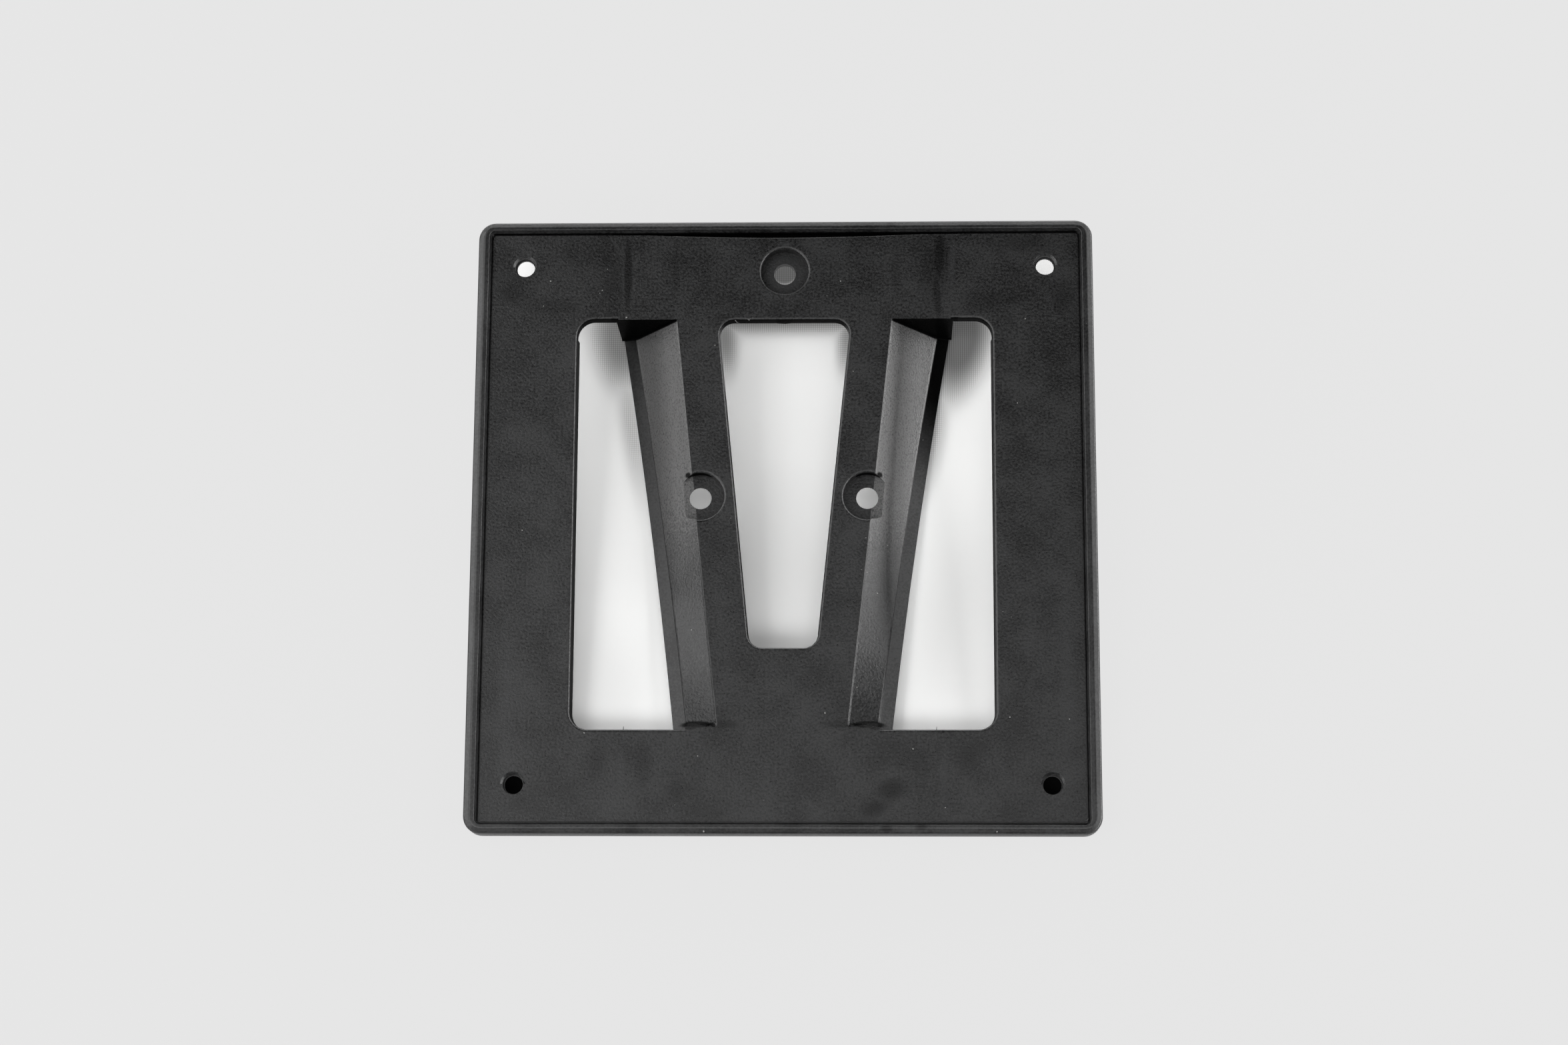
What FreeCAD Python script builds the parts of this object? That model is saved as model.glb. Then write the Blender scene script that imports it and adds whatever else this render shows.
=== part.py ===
import FreeCAD, Part

import math
import os
import re

import Sketcher

os.makedirs("parts", exist_ok=True)

# Number plate holder for a square motorcycle plate, moulded in one piece.
# Frame: origin at the middle of the four plate holes, on the seat that the plate lies on.
# X runs to the right, Y to the top of the plate and Z out of the seat, towards the viewer.

# Driving dimensions in millimetres: name, value and what it measures
SIZES = (
    ("plate_size", 177.0, "width and height of the square plate"),
    ("side_clearance", 0.75, "plate to the foot of the rim, left and right"),
    ("end_clearance", 1.45, "plate to the foot of the rim, top and bottom"),
    ("rim_side", 4.0, "rim at its foot, left and right"),
    ("rim_end", 3.3, "rim at its foot, top and bottom"),
    ("rim_height", 2.2, "rim above the seat"),
    ("rim_depth", 4.6, "rim behind the seat"),
    ("rim_lean", 0.7, "how far the rim's inner wall leans out over its height"),
    ("rim_drop", 0.5, "middle of the rim below the middle of the plate holes"),
    ("rim_slope", 1.9, "width over which the rim falls away outside its crest"),
    ("rim_fall", 0.95, "drop of the rim over that width"),
    ("rim_crown", 1.6, "round between the crest and that slope"),
    ("rim_round", 1.0, "round between that slope and the rim's outer wall"),
    ("crest_round", 0.25, "round on the rim's inner front edge"),
    ("outer_corner", 5.2, "corner radius outside the rim"),
    ("seat_corner", 1.2, "corner radius of the seat"),
    ("groove_width", 0.45, "relief groove round the seat"),
    ("groove_depth", 0.4, "depth of the relief groove"),
    ("panel_wall", 3.2, "thickness of the seat"),
    ("plate_hole_pitch", 158.0, "spacing of the four plate holes, both ways"),
    ("plate_hole_bore", 6.1, "diameter of a plate hole"),
    ("ledge_bore", 5.45, "diameter of the ledge at the back of a plate hole"),
    ("ledge_wall", 0.8, "thickness of that ledge"),
    ("lead_in", 0.6, "lead-in round the upper half of a plate hole"),
    ("window_top", 61.9, "top edge of the centre opening above the origin"),
    ("window_bottom", 38.6, "bottom edge of the centre opening below the origin"),
    ("window_top_width", 39.8, "centre opening at its top"),
    ("window_bottom_width", 19.7, "centre opening at its bottom"),
    ("window_corner", 4.5, "corner radius of the centre opening"),
    ("window_draft", 0.25, "how far the centre opening narrows through the seat, on each side"),
    ("window_round", 0.75, "round on the front edge of the centre opening"),
    ("side_top", 62.1, "top edge of the side openings above the origin"),
    ("side_bottom", 62.9, "bottom edge of the side openings below the origin"),
    ("side_reach", 62.5, "outer edge of the side openings from the middle, at the back of the skirt"),
    ("side_corner", 5.4, "outer corner radius of the side openings"),
    ("side_draft", 0.35, "how far the side openings narrow through the skirt"),
    ("side_round", 0.8, "round on the outer front edges of the side openings"),
    ("side_step", 0.1, "end of a leg's hollow below the top edge of the side opening"),
    ("skirt_wall", 2.2, "wall of the skirt at the outer and lower edges of the side openings"),
    ("skirt_depth", 6.0, "depth of the skirt behind the seat"),
    ("fold_top", 32.4, "fold between leg and side wall, at the top"),
    ("fold_bottom", 19.2, "the same fold at the bottom"),
    ("lip_top", 46.6, "foot of the side wall where the lip starts, at the top"),
    ("lip_middle", 36.7, "the same line at half height, where it bows in"),
    ("lip_bottom", 28.6, "the same line at the bottom"),
    ("lip_width", 3.7, "width of the lip"),
    ("leg_depth_top", 20.8, "lip behind the seat, at the top"),
    ("leg_depth_bottom", 2.2, "lip behind the seat, at the bottom"),
    ("lip_fall", 1.5, "drop of the lip over its width"),
    ("fold_step", 0.6, "steep step under the fold"),
    ("lip_step", 0.55, "steep step down to the lip"),
    ("step_run", 0.55, "width of either step"),
    ("leg_end", 2.3, "seat between a leg's lower end and the edge of the side opening"),
    ("leg_run_out", 1.6, "ramp on which a leg's lower end comes up to the seat"),
    ("end_lap", 0.8, "end wall of a leg beyond the edge of its lip"),
    ("leg_wall", 2.4, "wall of the side walls and the lips"),
    ("leg_root", 4.0, "how far a side wall is rooted in the seat on both sides of the fold"),
    ("leg_skin", 0.6, "seat that is left over that root"),
    ("mount_width", 50.0, "spacing of the two lower mounting holes"),
    ("mount_rise", 70.0, "upper mounting hole above the lower two"),
    ("mount_top", 77.5, "upper mounting hole above the origin"),
    ("mount_hole", 6.6, "diameter of a mounting hole"),
    ("mount_pad", 14.2, "diameter of the recessed pad round a mounting hole"),
    ("mount_pad_depth", 3.6, "pad behind the seat"),
    ("mount_web", 2.4, "web under a pad"),
    ("mount_round", 0.9, "round on the front edge of a pad"),
    ("mount_land", 0.6, "thin land round a lower mounting hole"),
    ("mount_relief", 10.0, "diameter of the relief behind that land"),
    ("boss_wall", 1.8, "wall of the boss round a pad"),
    ("bow_width", 100.0, "chord of the bowed slot along the top edge of the seat"),
    ("bow_drop", 1.45, "how far the slot bows down at its middle"),
    ("bow_depth", 2.0, "depth of that slot"),
    ("rib_wall", 1.8, "wall of the ribs behind the bands"),
    ("rib_reach", 47.0, "ribs from the middle"),
)
NAMES = {name for name, _, _ in SIZES}

# Places that several outlines share, as formulas of the sizes
FOOT_X = "(plate_size / 2 + side_clearance)"
FOOT_TOP = "(plate_size / 2 + end_clearance - rim_drop)"
FOOT_BOTTOM = "(plate_size / 2 + end_clearance + rim_drop)"
MOUNT_LOW = "(mount_top - mount_rise)"
PAD_BACK = "(mount_pad_depth + mount_web)"
MARGIN = 1.0

doc = FreeCAD.newDocument("plate_holder")
sheet = doc.addObject("Spreadsheet::Sheet", "sizes")
for row, (name, size, meaning) in enumerate(SIZES, start=1):
    sheet.set("A%d" % row, name)
    sheet.set("B%d" % row, str(size))
    sheet.set("C%d" % row, meaning)
    sheet.setAlias("B%d" % row, name)
doc.recompute()

body = doc.addObject("PartDesign::Body", "plate_holder")
body.Label = "plate_holder"
doc.recompute()


def formula(text):
    """Formula text in which every size name points at the sheet."""
    return re.sub(r"[a-z_]+", lambda m: "sizes." + m.group() if m.group() in NAMES else m.group(), text)


def value(text):
    """Value of a formula in millimetres."""
    result = sheet.evalExpression(formula(text))
    return float(getattr(result, "Value", result))


def origin_plane(role):
    """One of the body's own origin planes."""
    return next(f for f in body.Origin.OriginFeatures if f.Role == role)


def new_sketch(name, role, shift=("0", "0", "0")):
    """Sketch on an origin plane, shifted by three formulas along its own axes."""
    sketch = body.newObject("Sketcher::SketchObject", name)
    sketch.AttachmentSupport = [(origin_plane(role), "")]
    sketch.MapMode = "FlatFace"
    for axis, text in zip("xyz", shift):
        sketch.setExpression("AttachmentOffset.Base." + axis, formula(text))
    return sketch


def bind(sketch, kind, geometry, place, text):
    """Distance of a point from the sketch's origin, or a round's size, tied to a formula."""
    if kind in ("DistanceX", "DistanceY"):
        constraint = Sketcher.Constraint(kind, -1, 1, geometry, place, value(text))
    else:
        constraint = Sketcher.Constraint(kind, geometry, value(text))
    index = sketch.addConstraint(constraint)
    sketch.setExpression("Constraints[%d]" % index, formula(text))


def outline(sketch, corners):
    """Closed outline, run anticlockwise, through corners of two formulas and, if round, a radius."""
    points = [FreeCAD.Vector(value(corner[0]), value(corner[1]), 0) for corner in corners]
    leave, reach, arcs = [], [], {}
    for i, corner in enumerate(corners):
        if len(corner) == 2:
            leave.append(points[i])
            reach.append(points[i])
            continue
        back = (points[i - 1] - points[i]).normalize()
        ahead = (points[(i + 1) % len(points)] - points[i]).normalize()
        half = back.getAngle(ahead) / 2
        radius = value(corner[2])
        reach.append(points[i] + back * (radius / math.tan(half)))
        leave.append(points[i] + ahead * (radius / math.tan(half)))
        centre = points[i] + (back + ahead).normalize() * (radius / math.sin(half))
        start = math.atan2(reach[i].y - centre.y, reach[i].x - centre.x)
        end = math.atan2(leave[i].y - centre.y, leave[i].x - centre.x)
        arcs[i] = Part.ArcOfCircle(Part.Circle(centre, FreeCAD.Vector(0, 0, 1), radius), start, end)
    count = len(corners)
    sides = [
        sketch.addGeometry(Part.LineSegment(leave[i], reach[(i + 1) % count]), False) for i in range(count)
    ]
    for i, corner in enumerate(corners):
        if i not in arcs:
            sketch.addConstraint(Sketcher.Constraint("Coincident", sides[i - 1], 2, sides[i], 1))
            anchor, place = sides[i], 1
        else:
            arc = sketch.addGeometry(arcs[i], False)
            sketch.addConstraint(Sketcher.Constraint("Tangent", sides[i - 1], 2, arc, 1))
            sketch.addConstraint(Sketcher.Constraint("Tangent", arc, 2, sides[i], 1))
            bind(sketch, "Radius", arc, 0, corner[2])
            anchor, place = sketch.addGeometry(Part.Point(points[i]), True), 1
            sketch.addConstraint(Sketcher.Constraint("PointOnObject", anchor, 1, sides[i - 1]))
            sketch.addConstraint(Sketcher.Constraint("PointOnObject", anchor, 1, sides[i]))
        bind(sketch, "DistanceX", anchor, place, corner[0])
        bind(sketch, "DistanceY", anchor, place, corner[1])


def box_outline(sketch, left, right, low, high, radius=None):
    """Rectangle between four formulas, with round corners if a radius is given."""
    tail = (radius,) if radius else ()
    outline(sketch, [(left, low) + tail, (right, low) + tail, (right, high) + tail, (left, high) + tail])


def circle(sketch, x, y, diameter):
    """Circle round a point of two formulas."""
    centre = FreeCAD.Vector(value(x), value(y), 0)
    ring = sketch.addGeometry(Part.Circle(centre, FreeCAD.Vector(0, 0, 1), value(diameter) / 2), False)
    bind(sketch, "DistanceX", ring, 3, x)
    bind(sketch, "DistanceY", ring, 3, y)
    bind(sketch, "Diameter", ring, 0, diameter)


def segment(sketch, half, low, level):
    """Shallow segment under a chord of two halves at one level, as deep as its low point."""
    left = FreeCAD.Vector(-value(half), value(level), 0)
    right = FreeCAD.Vector(value(half), value(level), 0)
    bottom = FreeCAD.Vector(0, value(low), 0)
    bow = Part.Arc(left, bottom, right)
    arc = sketch.addGeometry(bow, False)
    chord = sketch.addGeometry(Part.LineSegment(right, left), False)
    first = sketch.getPoint(arc, 1)
    start, end = (1, 2) if first.x < 0 else (2, 1)
    sketch.addConstraint(Sketcher.Constraint("Coincident", arc, end, chord, 1))
    sketch.addConstraint(Sketcher.Constraint("Coincident", arc, start, chord, 2))
    bind(sketch, "DistanceX", chord, 1, half)
    bind(sketch, "DistanceY", chord, 1, level)
    bind(sketch, "DistanceX", chord, 2, "-" + half)
    bind(sketch, "DistanceY", chord, 2, level)
    sag = "(%s - (%s))" % (level, low)
    bind(sketch, "Radius", arc, 0, "(%s ^ 2 + %s ^ 2) / (2 * %s)" % (half, sag, sag))


def volume():
    """Volume of the body as it stands."""
    return body.Shape.Volume if body.Tip and not body.Shape.isNull() else 0.0


def settle(feature, before, grows):
    """Recompute and make sure that a feature added, or cut away, some material."""
    doc.recompute()
    change = volume() - before
    if abs(change) < 1e-3 or (change > 0) != grows:
        raise RuntimeError("%s changed the volume by %.3f" % (feature.Name, change))
    return feature


def extrude(kind, name, sketch, length, flip=False, along=None, lean=None):
    """Pad or pocket of a sketch: its length, its side and, if slanted, its direction or its lean."""
    before = volume()
    feature = body.newObject("PartDesign::" + kind, name)
    feature.Profile = sketch
    feature.Reversed = flip
    feature.setExpression("Length", formula(length))
    if along:
        feature.UseCustomVector = True
        feature.AlongSketchNormal = False
        for axis, text in zip("xyz", along):
            feature.setExpression("Direction." + axis, formula(text))
    if lean:
        feature.setExpression("TaperAngle", formula(lean))
    return settle(feature, before, kind == "Pad")


def loft(kind, name, sketches):
    """Additive or subtractive loft through sketches in order."""
    before = volume()
    feature = body.newObject("PartDesign::" + kind, name)
    feature.Profile = sketches[0]
    feature.Sections = [(sketch, "") for sketch in sketches[1:]]
    return settle(feature, before, kind == "AdditiveLoft")


def face_level(height):
    """Largest face that lies flat at a height, looking to the front."""
    level = value(height)
    flat = [
        face
        for face in body.Tip.Shape.Faces
        if isinstance(face.Surface, Part.Plane)
        and all(abs(vertex.Point.z - level) < 1e-4 for vertex in face.Vertexes)
    ]
    return max(flat, key=lambda face: face.Area)


def edges_level(height):
    """Edges of the body that lie flat at a height."""
    level = value(height)
    return [
        edge
        for edge in body.Tip.Shape.Edges
        if all(abs(vertex.Point.z - level) < 1e-4 for vertex in edge.Vertexes)
    ]


def is_square(edge):
    """Whether a straight edge runs along X or Y."""
    way = edge.Vertexes[-1].Point - edge.Vertexes[0].Point
    return min(abs(way.x), abs(way.y)) < 1e-6


def among(edges):
    """Test that an edge is one of some edges."""
    known = list(edges)
    return lambda edge: any(edge.isSame(other) for other in known)


def dress_edges(kind, name, wanted, **sizes):
    """Fillet or chamfer, with sizes as formulas, of every edge of the body that a test picks."""
    base = body.Tip
    picked = ["Edge%d" % i for i, edge in enumerate(base.Shape.Edges, start=1) if wanted(edge)]
    if not picked:
        raise RuntimeError("%s found no edge" % name)
    feature = body.newObject("PartDesign::" + kind, name)
    feature.Base = (base, picked)
    if len(sizes) > 1:
        feature.ChamferType = "Two distances"
    for size, text in sizes.items():
        feature.setExpression(size, formula(text))
    doc.recompute()
    return feature


def round_edges(name, radius, wanted):
    """Fillet of every edge of the body that a test picks."""
    return dress_edges("Fillet", name, wanted, Radius=radius)


def mirrored(sign, corners):
    """Corners for the right, or the left, side in anticlockwise order."""
    if sign > 0:
        return corners
    return [("-(%s)" % corner[0],) + tuple(corner[1:]) for corner in reversed(corners)]


# Blank with the rim's outer outline, from the rim's back edge to its crest
blank = new_sketch("blank_outline", "XY_Plane", ("0", "0", "-rim_depth"))
box_outline(
    blank,
    "-(" + FOOT_X + " + rim_side)",
    FOOT_X + " + rim_side",
    "-(" + FOOT_BOTTOM + " + rim_end)",
    FOOT_TOP + " + rim_end",
    "outer_corner",
)
extrude("Pad", "blank", blank, "rim_height + rim_depth")

# Seat for the plate, under an inner wall that leans outwards
seat = new_sketch("seat_outline", "XY_Plane")
box_outline(seat, "-" + FOOT_X, FOOT_X, "-" + FOOT_BOTTOM, FOOT_TOP, "seat_corner")
extrude("Pocket", "seat", seat, "rim_height", flip=True, lean="atan(rim_lean / rim_height)")

# Hollow behind the seat, which leaves the panel and the rim's back edge
hollow = new_sketch("hollow_outline", "XY_Plane", ("0", "0", "-panel_wall"))
box_outline(hollow, "-" + FOOT_X, FOOT_X, "-" + FOOT_BOTTOM, FOOT_TOP, "seat_corner")
extrude("Pocket", "hollow", hollow, "rim_depth - panel_wall")

# Relief groove at the foot of the rim
groove = new_sketch("relief_outline", "XY_Plane")
box_outline(groove, "-" + FOOT_X, FOOT_X, "-" + FOOT_BOTTOM, FOOT_TOP, "seat_corner")
box_outline(
    groove,
    "-(" + FOOT_X + " - groove_width)",
    FOOT_X + " - groove_width",
    "-(" + FOOT_BOTTOM + " - groove_width)",
    FOOT_TOP + " - groove_width",
    "seat_corner - groove_width",
)
extrude("Pocket", "relief_groove", groove, "groove_depth")

# Slot that bows down into the top edge of the seat
bow = new_sketch("bow_outline", "XY_Plane")
segment(bow, "(bow_width / 2)", FOOT_TOP + " - bow_drop", FOOT_TOP)
extrude("Pocket", "bow", bow, "bow_depth")

# Skirts at the outer and lower edges of the side openings
SIDE_LOW = "(-side_bottom)"
LIP_EDGE = "lip_top + lip_width"
skirts = new_sketch("skirt_outline", "XY_Plane", ("0", "0", "-%s" % MARGIN))
for sign in (1, -1):
    outline(skirts, mirrored(sign, [
        ("lip_bottom + %s / 2" % MARGIN, SIDE_LOW + " - skirt_wall"),
        ("side_reach + skirt_wall", SIDE_LOW + " - skirt_wall", "side_corner + skirt_wall"),
        ("side_reach + skirt_wall", "side_top - side_corner"),
        (LIP_EDGE + " - %s / 2" % MARGIN, "side_top - side_corner"),
    ]))
extrude("Pad", "skirts", skirts, "skirt_depth - %s" % MARGIN, flip=True)

# Side openings, from a line inside each leg to the outer edge
sides = new_sketch("side_opening_outline", "XY_Plane")
for sign in (1, -1):
    outline(sides, mirrored(sign, [
        ("lip_bottom", SIDE_LOW),
        ("side_reach + side_draft", SIDE_LOW, "side_corner"),
        ("side_reach + side_draft", "side_top + side_draft", "side_corner"),
        (LIP_EDGE, "side_top + side_draft"),
    ]))
SIDE_LEAN = "-atan(side_draft / skirt_depth)"
extrude("Pocket", "side_openings", sides, "skirt_depth + %s" % MARGIN, lean=SIDE_LEAN)
front = face_level("0")
round_edges("side_round", "side_round", among(
    edge
    for wire in front.Wires
    if not wire.isSame(front.OuterWire)
    for edge in wire.Edges
    if isinstance(edge.Curve, Part.Circle) or is_square(edge)
))

# Ribs behind the bottom band, from the skirt to the rim
low_ribs = new_sketch("low_rib_outline", "XY_Plane", ("0", "0", "-%s" % MARGIN))
for sign in (1, -1):
    outline(low_ribs, mirrored(sign, [
        ("rib_reach - rib_wall / 2", "-(%s + rim_end / 2)" % FOOT_BOTTOM),
        ("rib_reach + rib_wall / 2", "-(%s + rim_end / 2)" % FOOT_BOTTOM),
        ("rib_reach + rib_wall / 2", SIDE_LOW + " - skirt_wall / 2"),
        ("rib_reach - rib_wall / 2", SIDE_LOW + " - skirt_wall / 2"),
    ]))
extrude("Pad", "low_ribs", low_ribs, "rim_depth - %s" % MARGIN, flip=True)

# Bosses behind the three mounting holes
MOUNTS = (("0", "mount_top"), ("mount_width / 2", MOUNT_LOW), ("-mount_width / 2", MOUNT_LOW))
bosses = new_sketch("boss_outline", "XY_Plane", ("0", "0", "-%s" % MARGIN))
for x, y in MOUNTS:
    circle(bosses, x, y, "mount_pad + 2 * boss_wall")
extrude("Pad", "bosses", bosses, PAD_BACK + " - %s" % MARGIN, flip=True)

# Stations of the legs: name, place along Y, fold, start of the lip and depth of the lip
STATIONS = (
    ("low", "(-side_bottom)", "fold_bottom", "lip_bottom", "leg_depth_bottom"),
    (
        "middle",
        "((side_top - side_bottom) / 2)",
        "((fold_top + fold_bottom) / 2)",
        "lip_middle",
        "((leg_depth_top + leg_depth_bottom) / 2)",
    ),
    ("top", "side_top", "fold_top", "lip_top", "leg_depth_top"),
)


def wall_corners(fold, lip, depth, lap="0"):
    """Section of a leg's side wall and lip, filled up to the skin of the seat."""
    run = "(%s - %s)" % (lip, fold)
    bend = "((sqrt(%s ^ 2 + %s ^ 2) - %s) / %s)" % (run, depth, run, depth)
    edge = "%s + lip_width + %s" % (lip, lap)
    back = "-(%s + leg_wall)" % depth
    return [
        ("%s - leg_root" % fold, "-leg_wall"),
        ("%s - leg_wall * %s" % (fold, bend), "-leg_wall"),
        ("%s - leg_wall * %s" % (lip, bend), back),
        (edge, back),
        (edge, "-leg_skin"),
        ("%s - leg_root" % fold, "-leg_skin"),
    ]


def lip_corners(lip, depth):
    """Space in front of a lip, down the slope that falls to its edge."""
    beyond = "%s + lip_width + %s" % (lip, MARGIN)
    return [
        (lip, "-" + depth),
        (beyond, "-(%s + lip_fall * (1 + %s / lip_width))" % (depth, MARGIN)),
        (beyond, str(MARGIN)),
    ]


def trough_corners(fold, lip, depth):
    """Space in front of a leg's side wall and lip, with a steep step at either end of the wall."""
    return [
        (fold, "0"),
        ("%s + step_run" % fold, "-fold_step"),
        ("%s - step_run" % lip, "-(%s - lip_step)" % depth),
        *lip_corners(lip, depth),
        (fold, str(MARGIN)),
    ]


# Legs: a side wall that twists and deepens to the top, closed there by an end wall with a gusset
for side, sign in (("right", 1), ("left", -1)):
    sections = []
    for station, y, fold, lip, depth in STATIONS:
        section = new_sketch("%s_wall_%s" % (side, station), "XZ_Plane", ("0", "0", "-" + y))
        outline(section, mirrored(sign, wall_corners(fold, lip, depth)))
        sections.append(section)
    doc.recompute()
    loft("AdditiveLoft", "%s_side_wall" % side, sections)

    end = new_sketch("%s_end_outline" % side, "XZ_Plane", ("0", "0", "-side_top"))
    outline(end, mirrored(sign, wall_corners(*STATIONS[-1][2:], lap="end_lap")))
    extrude("Pad", "%s_end_wall" % side, end, "skirt_wall", flip=True)

    gusset = new_sketch("%s_gusset_outline" % side, "YZ_Plane", ("0", "0", "%d * rib_reach" % sign))
    outline(gusset, [
        ("side_top + skirt_wall / 2", "-leg_depth_top"),
        (FOOT_TOP + " + rim_end / 2", "-rim_depth"),
        (FOOT_TOP + " + rim_end / 2", "-%s" % MARGIN),
        ("side_top + skirt_wall / 2", "-%s" % MARGIN),
    ])
    rib = extrude("Pad", "%s_gusset" % side, gusset, "rib_wall")
    rib.SideType = "Symmetric"
    doc.recompute()

    troughs = []
    for station, y, fold, lip, depth in STATIONS:
        y += {"low": " + leg_end", "middle": "", "top": " + side_draft - side_step"}[station]
        space = new_sketch("%s_trough_%s" % (side, station), "XZ_Plane", ("0", "0", "-(%s)" % y))
        outline(space, mirrored(sign, trough_corners(fold, lip, depth)))
        troughs.append(space)
    doc.recompute()
    loft("SubtractiveLoft", "%s_trough" % side, troughs)

    # The hollow comes up to the seat on a ramp, and the lip runs on to the edge of the opening
    flush = new_sketch("%s_run_out" % side, "XZ_Plane", ("0", "0", "side_bottom - leg_end + leg_run_out"))
    level = [(x, z if z == str(MARGIN) else "0") for x, z in trough_corners(*STATIONS[0][2:])]
    outline(flush, mirrored(sign, level))
    doc.recompute()
    loft("SubtractiveLoft", "%s_ramp" % side, [troughs[0], flush])
    lip_end = new_sketch("%s_lip_end" % side, "XZ_Plane", ("0", "0", "side_bottom"))
    foot = lip_corners(*STATIONS[0][3:])
    outline(lip_end, mirrored(sign, foot + [(foot[0][0], str(MARGIN))]))
    extrude("Pocket", "%s_lip_run" % side, lip_end, "leg_end + %s / 2" % MARGIN)

# Centre opening, which narrows to the bottom and through the seat
window = new_sketch("window_outline", "XY_Plane")
outline(window, [
    ("-window_bottom_width / 2 - window_draft", "-window_bottom", "window_corner"),
    ("window_bottom_width / 2 + window_draft", "-window_bottom", "window_corner"),
    ("window_top_width / 2 + window_draft", "window_top + window_draft", "window_corner"),
    ("-window_top_width / 2 - window_draft", "window_top + window_draft", "window_corner"),
])
extrude("Pocket", "window", window, "panel_wall + %s" % MARGIN, lean="-atan(window_draft / panel_wall)")

# Recessed pads and the holes through them
pads = new_sketch("pad_outline", "XY_Plane")
for x, y in MOUNTS:
    circle(pads, x, y, "mount_pad")
extrude("Pocket", "mount_pads", pads, "mount_pad_depth")
holes = new_sketch("mount_hole_outline", "XY_Plane")
for x, y in MOUNTS:
    circle(holes, x, y, "mount_hole")
extrude("Pocket", "mount_holes", holes, PAD_BACK + " + %s" % MARGIN)
reliefs = new_sketch("mount_relief_outline", "XY_Plane", ("0", "0", "-(mount_pad_depth + mount_land)"))
for x, y in MOUNTS[1:]:
    circle(reliefs, x, y, "mount_relief")
extrude("Pocket", "mount_reliefs", reliefs, "mount_web")

# Plate holes: a bore with a ledge at its back
CORNERS = [(x, y) for y in (1, -1) for x in (-1, 1)]
for name, diameter, depth in (
    ("plate_bore", "plate_hole_bore", "panel_wall - ledge_wall"),
    ("plate_ledge", "ledge_bore", "panel_wall + %s" % MARGIN),
):
    drill = new_sketch(name + "_outline", "XY_Plane")
    for x, y in CORNERS:
        circle(drill, "%d * plate_hole_pitch / 2" % x, "%d * plate_hole_pitch / 2" % y, diameter)
    extrude("Pocket", name + "s", drill, depth)

# Lead-in round the upper half of each plate hole
for number, (x, y) in enumerate(CORNERS, start=1):
    taper = new_sketch(
        "lead_in_outline_%d" % number,
        "XZ_Plane",
        ("%d * plate_hole_pitch / 2" % x, "0", "%d * plate_hole_pitch / 2" % -y),
    )
    outline(taper, [
        ("plate_hole_bore / 2 - %s" % MARGIN, "-lead_in - %s" % MARGIN),
        ("plate_hole_bore / 2 + lead_in + %s" % MARGIN, "%s" % MARGIN),
        ("plate_hole_bore / 2 - %s" % MARGIN, "%s" % MARGIN),
    ])
    before = volume()
    cut = body.newObject("PartDesign::Groove", "lead_in_%d" % number)
    cut.Profile = taper
    cut.ReferenceAxis = (taper, ["V_Axis"])
    cut.Angle = 180
    settle(cut, before, False)

# Crowned rim: it falls away outside its crest, with every edge rounded
on_crest = face_level("rim_height")
dress_edges("Chamfer", "rim_slope", among(on_crest.OuterWire.Edges), Size="rim_fall", Size2="rim_slope")
round_edges("rim_round", "rim_round", among(edges_level("rim_height - rim_fall")))
on_crest = face_level("rim_height")
round_edges("rim_crown", "rim_crown", among(on_crest.OuterWire.Edges))
on_crest = face_level("rim_height")
round_edges("crest_round", "crest_round", among(
    edge for wire in on_crest.Wires if not wire.isSame(on_crest.OuterWire) for edge in wire.Edges
))

# Rounds on the front edges of the centre opening and of the pads
front = face_level("0")
centre = FreeCAD.Vector(0, value("window_top - window_bottom") / 2, 0)
rim_of_window = min(front.Wires, key=lambda wire: (wire.BoundBox.Center - centre).Length)
round_edges("window_round", "window_round", among(rim_of_window.Edges))
front = face_level("0").Edges
round_edges("mount_round", "mount_round", among(
    edge
    for edge in front
    if isinstance(edge.Curve, Part.Circle) and abs(edge.Curve.Radius - value("mount_pad") / 2) < 1e-4
))

# Exported only when every object is sound
doc.recompute()
for item in doc.Objects:
    if {"Invalid", "Error"} & set(item.State):
        raise RuntimeError("%s is %s" % (item.Name, item.State))
if body.Shape.isNull() or not body.Shape.isValid():
    raise RuntimeError("the holder has no sound shape")
print("solids %d, volume %.1f mm3, box %s" % (len(body.Shape.Solids), volume(), body.Shape.BoundBox))
body.Shape.exportStep("parts/%s.step" % body.Label)
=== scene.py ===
"""The number plate holder's plastic, its flash and marks, with the floor, the light and the camera."""

import logging
import math
from dataclasses import dataclass
from enum import Enum
from typing import Union

import bmesh
import bpy
from mathutils import Matrix, Vector


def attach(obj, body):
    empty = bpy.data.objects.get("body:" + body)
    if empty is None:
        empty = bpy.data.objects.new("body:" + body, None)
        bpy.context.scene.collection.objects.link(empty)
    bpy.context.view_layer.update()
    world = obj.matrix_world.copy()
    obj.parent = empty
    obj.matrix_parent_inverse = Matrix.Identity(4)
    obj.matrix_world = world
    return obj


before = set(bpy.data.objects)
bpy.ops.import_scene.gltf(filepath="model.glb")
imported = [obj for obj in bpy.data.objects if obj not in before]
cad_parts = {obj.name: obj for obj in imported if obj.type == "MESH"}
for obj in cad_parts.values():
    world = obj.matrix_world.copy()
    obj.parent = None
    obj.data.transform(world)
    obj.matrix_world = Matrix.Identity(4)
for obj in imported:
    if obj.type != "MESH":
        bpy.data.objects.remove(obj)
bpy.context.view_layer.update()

HOLDER = "plate_holder"
BODY = "root"
MM = 0.001
NOISE_MIDDLE = 0.5
WHITE = (1.0, 1.0, 1.0, 1.0)

log = logging.getLogger("plate_holder_scene")

Number = Union[float, "Value"]
Pair = tuple[float, float]
Triple = tuple[float, float, float]
Colour = tuple[float, float, float, float]
Paint = Union[Colour, bpy.types.NodeSocket]


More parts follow.
